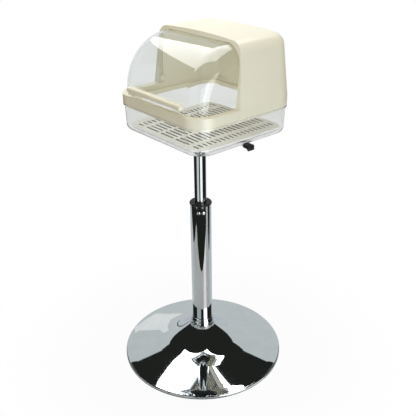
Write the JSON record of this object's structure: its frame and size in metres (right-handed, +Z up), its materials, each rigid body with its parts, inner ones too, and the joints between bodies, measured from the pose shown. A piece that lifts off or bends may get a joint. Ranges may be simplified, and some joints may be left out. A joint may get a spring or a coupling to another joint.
{
  "type": "pedestal pet dryer",
  "caption": "Small-pet dryer cabinet with clear lift-up visor, clear tray and slotted floor, on a gas-lift pedestal with a round base.",
  "frame": {"origin": "on the floor, on the axis of the column", "axes": "+Z up, -Y the front with the visor, +X the side of the release lever"},
  "size_m": [0.4, 0.4, 0.8145],
  "materials": {
    "chrome": "polished chrome plate",
    "floor_rubber": "moulded rubber, matt",
    "ballast_iron": "black dipped casting",
    "zinc_steel": "bright zinc plate",
    "bearing_steel": "ground",
    "black_plastic": "fine-grained moulding",
    "bracket_paint": "black powder coat",
    "lever_steel": "bright plate",
    "clear_plastic": "clear polished plastic",
    "cream_plastic": "satin-gloss moulding",
    "ivory_plastic": "satin-gloss moulding",
    "grey_plastic": "plain moulding",
    "heater_alloy": "bare sheet",
    "filter_foam": "open foam",
    "contact_brass": "plain"
  },
  "bodies": {
    "pedestal": {"base_disc": "chrome", "floor_ring": "floor_rubber", "ballast_plate": "ballast_iron", "foot_flange": "zinc_steel", "foot_bolts": "zinc_steel", "hub_sleeve": "zinc_steel", "column_nut": "zinc_steel", "escutcheon": "chrome", "column_tube": "chrome", "collar_cap": "black_plastic", "guide_bush": "black_plastic", "bearing_seat": "zinc_steel", "bearing_lower_race": "bearing_steel", "bearing_balls": "bearing_steel"},
    "piston": {"bearing_upper_race": "bearing_steel", "piston_rod": "bearing_steel", "piston_head": "black_plastic", "retaining_clip": "zinc_steel"},
    "carriage": {"pressure_tube": "chrome", "rod_guide": "black_plastic", "seat_bracket": "bracket_paint", "fulcrum_pin": "zinc_steel", "mount_screws": "zinc_steel", "mount_nuts": "zinc_steel", "tray": "clear_plastic"},
    "lever": {"release_lever": "lever_steel", "lever_grip": "black_plastic"},
    "release": {"release_pin": "bearing_steel"},
    "grate": {"floor_grate": "ivory_plastic"},
    "housing": {"housing": "cream_plastic", "pivot_pins": "bearing_steel", "outlet_grille": "cream_plastic", "unit_shell": "cream_plastic", "unit_screws": "zinc_steel", "dust_filter": "filter_foam", "fan_motor": "zinc_steel", "motor_plate": "grey_plastic", "scroll": "grey_plastic", "heater_frame": "heater_alloy", "heater_fins": "heater_alloy", "thermal_cutout": "black_plastic", "power_inlet": "black_plastic", "inlet_contacts": "contact_brass", "switch_frame": "black_plastic", "thermostat_body": "zinc_steel"},
    "visor": {"visor": "clear_plastic", "visor_handle": "cream_plastic", "handle_screws": "zinc_steel"},
    "fan": {"impeller": "black_plastic"},
    "rocker": {"rocker_switch": "black_plastic"},
    "knob": {"temperature_knob": "cream_plastic"}
  },
  "joints": [
    {"name": "swivel", "type": "hinge", "parent": "pedestal", "child": "piston", "pos_m": [0, 0, 0.09], "axis": [0, 0, 1], "continuous": true},
    {"name": "height", "type": "slide", "parent": "piston", "child": "carriage", "axis": [0, 0, 1], "range_m": [-0.125, 0.075]},
    {"name": "lever_lift", "type": "hinge", "parent": "carriage", "child": "lever", "pos_m": [0.03, 0, 0.585], "axis": [0, -1, 0], "range_deg": [0, 4.8], "stiffness_Nm_per_rad": 4, "springref_deg": -2.86},
    {"name": "valve_press", "type": "slide", "parent": "carriage", "child": "release", "axis": [0, 0, -1], "range_m": [0, 0.0026]},
    {"name": "grate_lift", "type": "slide", "parent": "carriage", "child": "grate", "axis": [0, 0, 1], "range_m": [0, 0.04]},
    {"name": "housing_lift", "type": "slide", "parent": "carriage", "child": "housing", "axis": [0, 0, 1], "range_m": [0, 0.08]},
    {"name": "visor_swing", "type": "hinge", "parent": "housing", "child": "visor", "pos_m": [0, 0, 0.69], "axis": [-1, 0, 0], "range_deg": [0, 78]},
    {"name": "fan_spin", "type": "hinge", "parent": "housing", "child": "fan", "pos_m": [0, 0.175, 0.722], "axis": [0, 1, 0], "continuous": true},
    {"name": "power_switch", "type": "hinge", "parent": "housing", "child": "rocker", "pos_m": [0.008, 0.18515, 0.675], "axis": [1, 0, 0], "range_deg": [0, 16]},
    {"name": "heat_setting", "type": "hinge", "parent": "housing", "child": "knob", "pos_m": [-0.024, 0.188, 0.675], "axis": [0, -1, 0], "range_deg": [0, 270]}
  ],
  "couplings": [
    {"joint": "valve_press", "follows": "lever_lift", "m_per_rad": 0.03}
  ]
}
